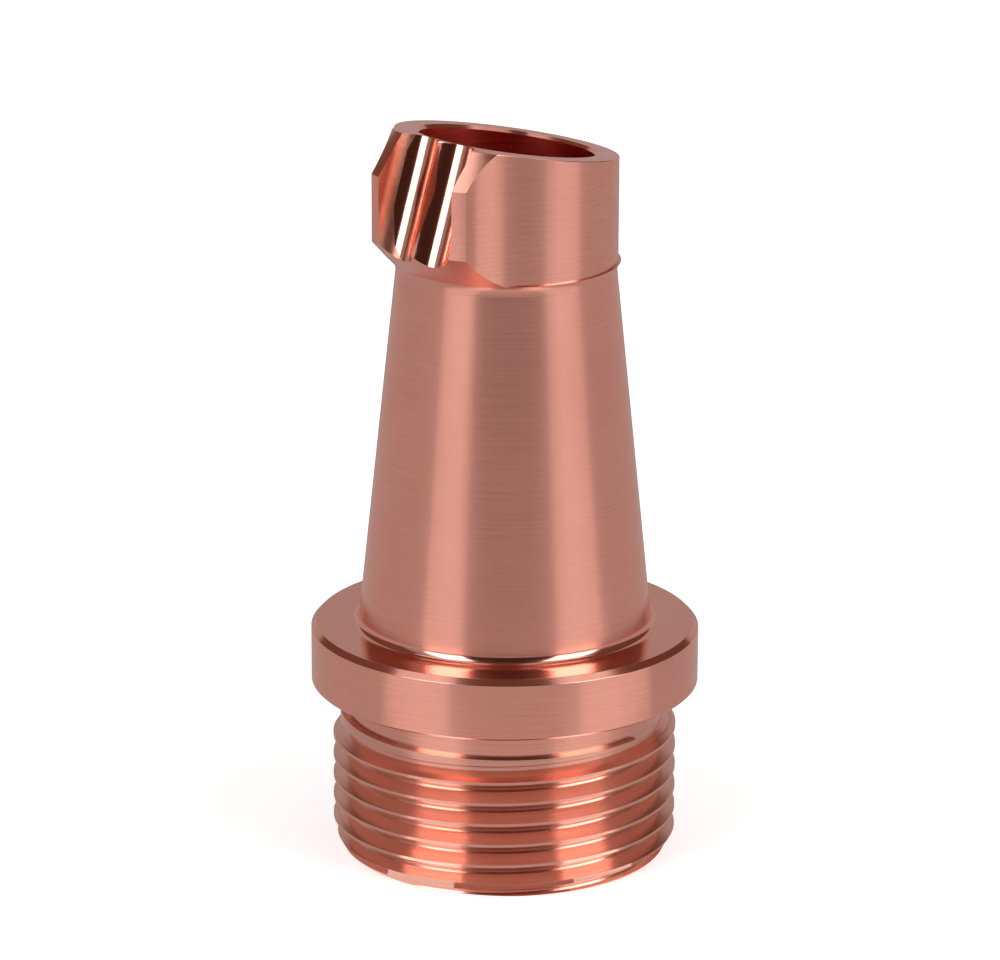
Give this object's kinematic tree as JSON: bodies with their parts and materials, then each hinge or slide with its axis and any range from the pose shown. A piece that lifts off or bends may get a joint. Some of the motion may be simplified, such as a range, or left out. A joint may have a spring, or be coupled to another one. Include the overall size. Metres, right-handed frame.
{
  "type": "laser welding nozzle",
  "caption": "Threaded copper nozzle for a hand-held laser welder: stop flange, long cone and slanted tip with side-by-side grooves that guide filler wire.",
  "frame": {"origin": "centre of the threaded end face, on the axis of the beam passage", "axes": "+Z along the beam passage from the threaded end to the tip, -Y towards the boss with the wire grooves"},
  "size_m": [0.018, 0.018, 0.0345],
  "materials": {
    "copper": "finely turned bare copper, polished bright"
  },
  "bodies": {
    "root": {"nozzle_body": "copper"}
  },
  "joints": []
}
